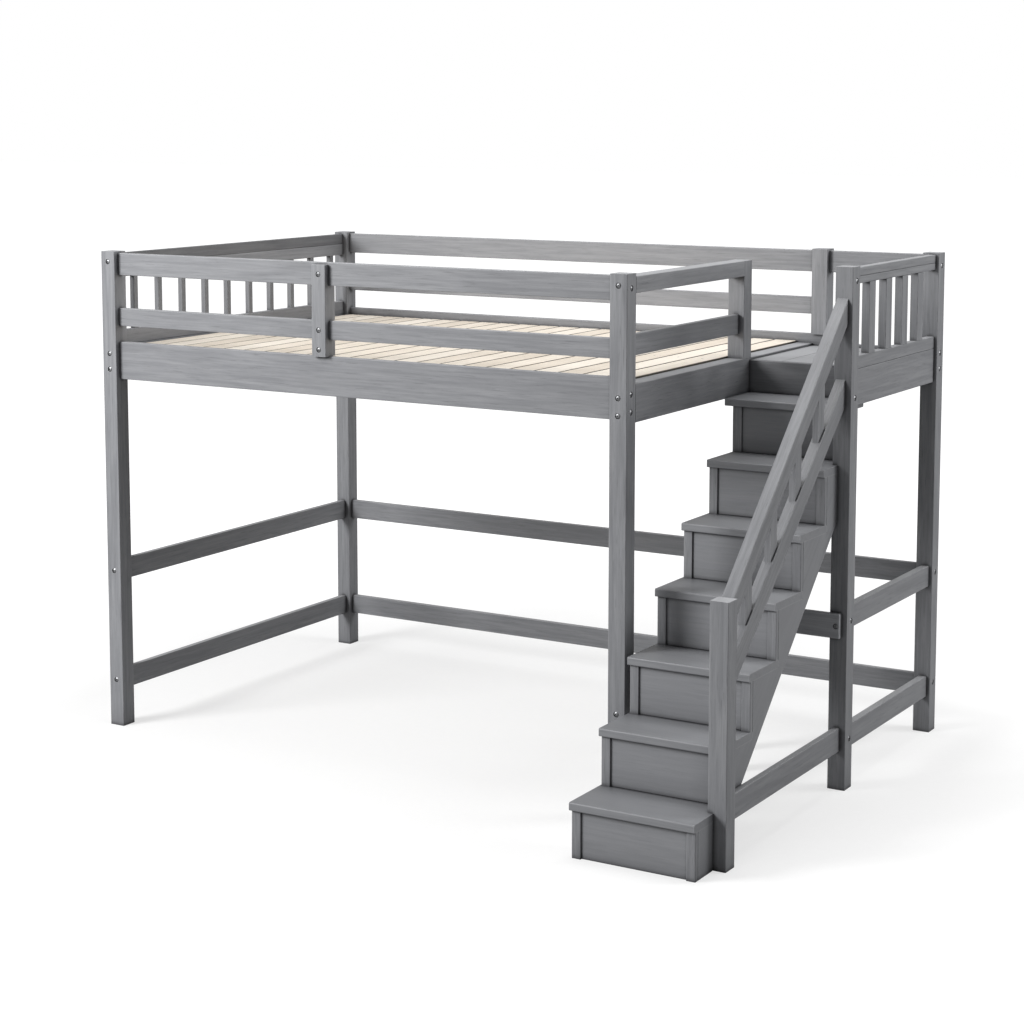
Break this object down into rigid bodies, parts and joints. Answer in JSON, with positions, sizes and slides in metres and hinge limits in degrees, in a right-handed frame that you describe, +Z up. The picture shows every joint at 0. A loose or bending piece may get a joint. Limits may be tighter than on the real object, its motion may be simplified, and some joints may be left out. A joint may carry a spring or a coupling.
{
  "type": "loft bed",
  "caption": "Grey painted wooden loft bed with a pine slat deck, guard rails, open space below, and a closed-riser staircase with a handrail and a landing at its right end.",
  "frame": {"origin": "on the floor, at the centre of the footprint of the bed with its staircase", "axes": "+X along the bed from its left end to the landing, +Y from the foot of the stairs to the rear, +Z up"},
  "size_m": [2.5612, 1.8566, 1.7],
  "materials": {
    "painted_wood": "satin grey paint over solid pine",
    "pine": "bare planed pine",
    "dowel_wood": "bare beech",
    "zinc_steel": "bright zinc plate"
  },
  "bodies": {
    "root": {"post_front_left": "painted_wood", "post_front_right": "painted_wood", "post_rear_left": "painted_wood", "post_rear_right": "painted_wood", "post_landing": "painted_wood", "newel_post": "painted_wood", "guard_post_front": "painted_wood", "guard_post_rear": "painted_wood", "guard_post_right": "painted_wood", "inner_leg": "painted_wood", "front_board": "painted_wood", "front_top_rail": "painted_wood", "front_guard_rail": "painted_wood", "rear_board": "painted_wood", "rear_top_rails": "painted_wood", "rear_guard_rail": "painted_wood", "rear_ties": "painted_wood", "left_cap_rail": "painted_wood", "left_under_rail": "painted_wood", "left_spindles": "painted_wood", "left_spindle_rail": "painted_wood", "left_board": "painted_wood", "left_ties": "painted_wood", "right_top_rail": "painted_wood", "right_guard_rail": "painted_wood", "right_beam": "painted_wood", "right_tie": "painted_wood", "landing_front_board": "painted_wood", "landing_planks": "painted_wood", "landing_cleats": "painted_wood", "landing_cap_rail": "painted_wood", "landing_under_rail": "painted_wood", "landing_slats": "painted_wood", "landing_slat_rail": "painted_wood", "landing_board": "painted_wood", "landing_ties": "painted_wood", "tread_1": "painted_wood", "tread_2": "painted_wood", "tread_3": "painted_wood", "tread_4": "painted_wood", "tread_5": "painted_wood", "tread_6": "painted_wood", "tread_7": "painted_wood", "riser_panels": "painted_wood", "riser_strips": "painted_wood", "stringer_left": "painted_wood", "stringer_right": "painted_wood", "stair_leg": "painted_wood", "stair_cross_rail": "painted_wood", "newel_tie": "painted_wood", "handrail": "painted_wood", "lower_handrail": "painted_wood", "balusters": "painted_wood", "deck_slats": "pine", "deck_ledgers": "pine", "centre_beam": "pine", "bolts": "zinc_steel", "barrel_nuts": "zinc_steel", "slat_screws": "zinc_steel", "dowels": "dowel_wood"}
  },
  "joints": []
}
